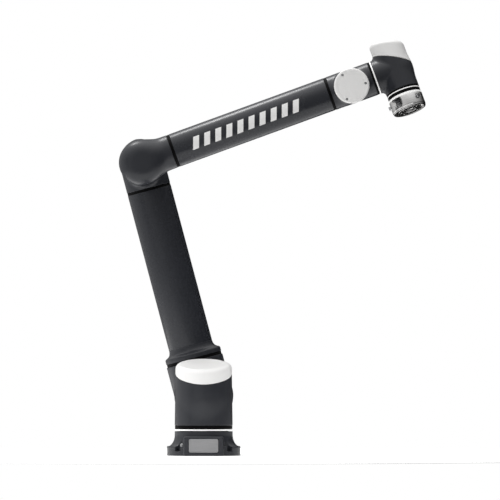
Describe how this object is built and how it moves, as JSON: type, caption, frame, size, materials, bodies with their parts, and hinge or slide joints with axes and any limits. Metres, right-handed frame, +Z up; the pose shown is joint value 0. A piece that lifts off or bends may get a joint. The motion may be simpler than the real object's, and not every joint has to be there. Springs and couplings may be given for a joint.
{
  "type": "robot arm",
  "caption": "Six-axis collaborative robot arm: round bolted foot, dark tubular limbs, white joint caps and a metal tool flange with a round bolt pattern.",
  "frame": {"origin": "on the base axis, at the underside of the foot", "axes": "+Z up along the base axis; +X towards the tool; +Y away from the viewer, the side that the arm is carried on"},
  "size_m": [0.7841, 0.3515, 1.0596],
  "materials": {
    "charcoal_paint": "satin charcoal powder coat on cast aluminium",
    "charcoal_tube": "satin charcoal paint on a drawn aluminium tube",
    "white_cap": "smooth white, slightly glossy",
    "black_seal": "matt black",
    "light_ring": "frosted white light guide, unlit",
    "plate_grey": "brushed, blank",
    "flange_metal": "turned and anodised clear",
    "screw_steel": "zinc plated",
    "socket_metal": "nickel plated",
    "reducer_steel": "ground steel",
    "motor_copper": "laminated core with copper windings",
    "drive_board": "green circuit board"
  },
  "bodies": {
    "base": {"base_foot": "charcoal_paint", "base_light_ring": "light_ring", "rating_plate": "plate_grey", "power_socket": "socket_metal", "j1_output_hub": "reducer_steel"},
    "turret": {"turret_housing": "charcoal_paint", "turret_seal": "black_seal", "turret_cap": "white_cap", "turret_cap_screws": "screw_steel", "j1_reducer": "reducer_steel", "j1_motor": "motor_copper", "j1_drive_board": "drive_board"},
    "upper_arm": {"shoulder_housing": "charcoal_paint", "shoulder_seal": "black_seal", "shoulder_cap": "white_cap", "j2_reducer": "reducer_steel", "j2_motor": "motor_copper", "j2_drive_board": "drive_board", "shoulder_band": "black_seal", "arm_collar": "charcoal_paint", "upper_arm_tube": "charcoal_tube", "upper_arm_band": "black_seal", "elbow_lower_housing": "charcoal_paint", "elbow_cap": "white_cap", "rear_cap_screws": "screw_steel", "j3_reducer": "reducer_steel", "j3_motor": "motor_copper", "j3_drive_board": "drive_board"},
    "forearm": {"elbow_upper_housing": "charcoal_paint", "elbow_seal": "black_seal", "forearm_rear_band": "black_seal", "forearm_tube": "charcoal_tube", "forearm_front_band": "black_seal", "wrist1_housing": "charcoal_paint", "wrist1_cap": "white_cap", "wrist1_cap_screws": "screw_steel", "j4_reducer": "reducer_steel", "j4_motor": "motor_copper", "j4_drive_board": "drive_board"},
    "wrist_2": {"wrist1_seal": "black_seal", "wrist2_housing": "charcoal_paint", "wrist2_cap": "white_cap", "wrist2_cap_screws": "screw_steel", "wrist2_seal": "black_seal", "j5_reducer": "reducer_steel", "j5_motor": "motor_copper", "j5_drive_board": "drive_board"},
    "wrist_3": {"wrist2_light_ring": "light_ring", "wrist3_housing": "charcoal_paint", "wrist3_cap": "white_cap", "wrist3_cap_screws": "screw_steel", "wrist3_seals": "black_seal", "wrist3_light_ring": "light_ring", "j6_reducer": "reducer_steel", "j6_motor": "motor_copper", "j6_drive_board": "drive_board"},
    "tool_end": {"tool_light_ring": "light_ring", "tool_flange": "flange_metal", "flange_screws": "screw_steel", "tool_sockets": "socket_metal"}
  },
  "joints": [
    {"name": "base_turn", "type": "hinge", "parent": "base", "child": "turret", "pos_m": [0, 0, 0.07], "axis": [0, 0, 1], "range_deg": [-175, 175]},
    {"name": "shoulder", "type": "hinge", "parent": "turret", "child": "upper_arm", "pos_m": [0, 0.09, 0.15], "axis": [0, 1, 0], "range_deg": [-75, 105]},
    {"name": "elbow", "type": "hinge", "parent": "upper_arm", "child": "forearm", "pos_m": [-0.15839, 0.104, 0.74529], "axis": [0, 1, 0], "range_deg": [-235, 65]},
    {"name": "wrist_1", "type": "hinge", "parent": "forearm", "child": "wrist_2", "pos_m": [0.37629, 0.084, 0.9399], "axis": [0, 1, 0], "range_deg": [-175, 175]},
    {"name": "wrist_2", "type": "hinge", "parent": "wrist_2", "child": "wrist_3", "pos_m": [0.43549, 0.157, 0.96144], "axis": [0.9397, 0, 0.342], "range_deg": [-175, 175]},
    {"name": "wrist_3", "type": "hinge", "parent": "wrist_3", "child": "tool_end", "pos_m": [0.51329, 0.13867, 0.91434], "axis": [0.3311, -0.2504, -0.9098], "range_deg": [-175, 175]}
  ]
}
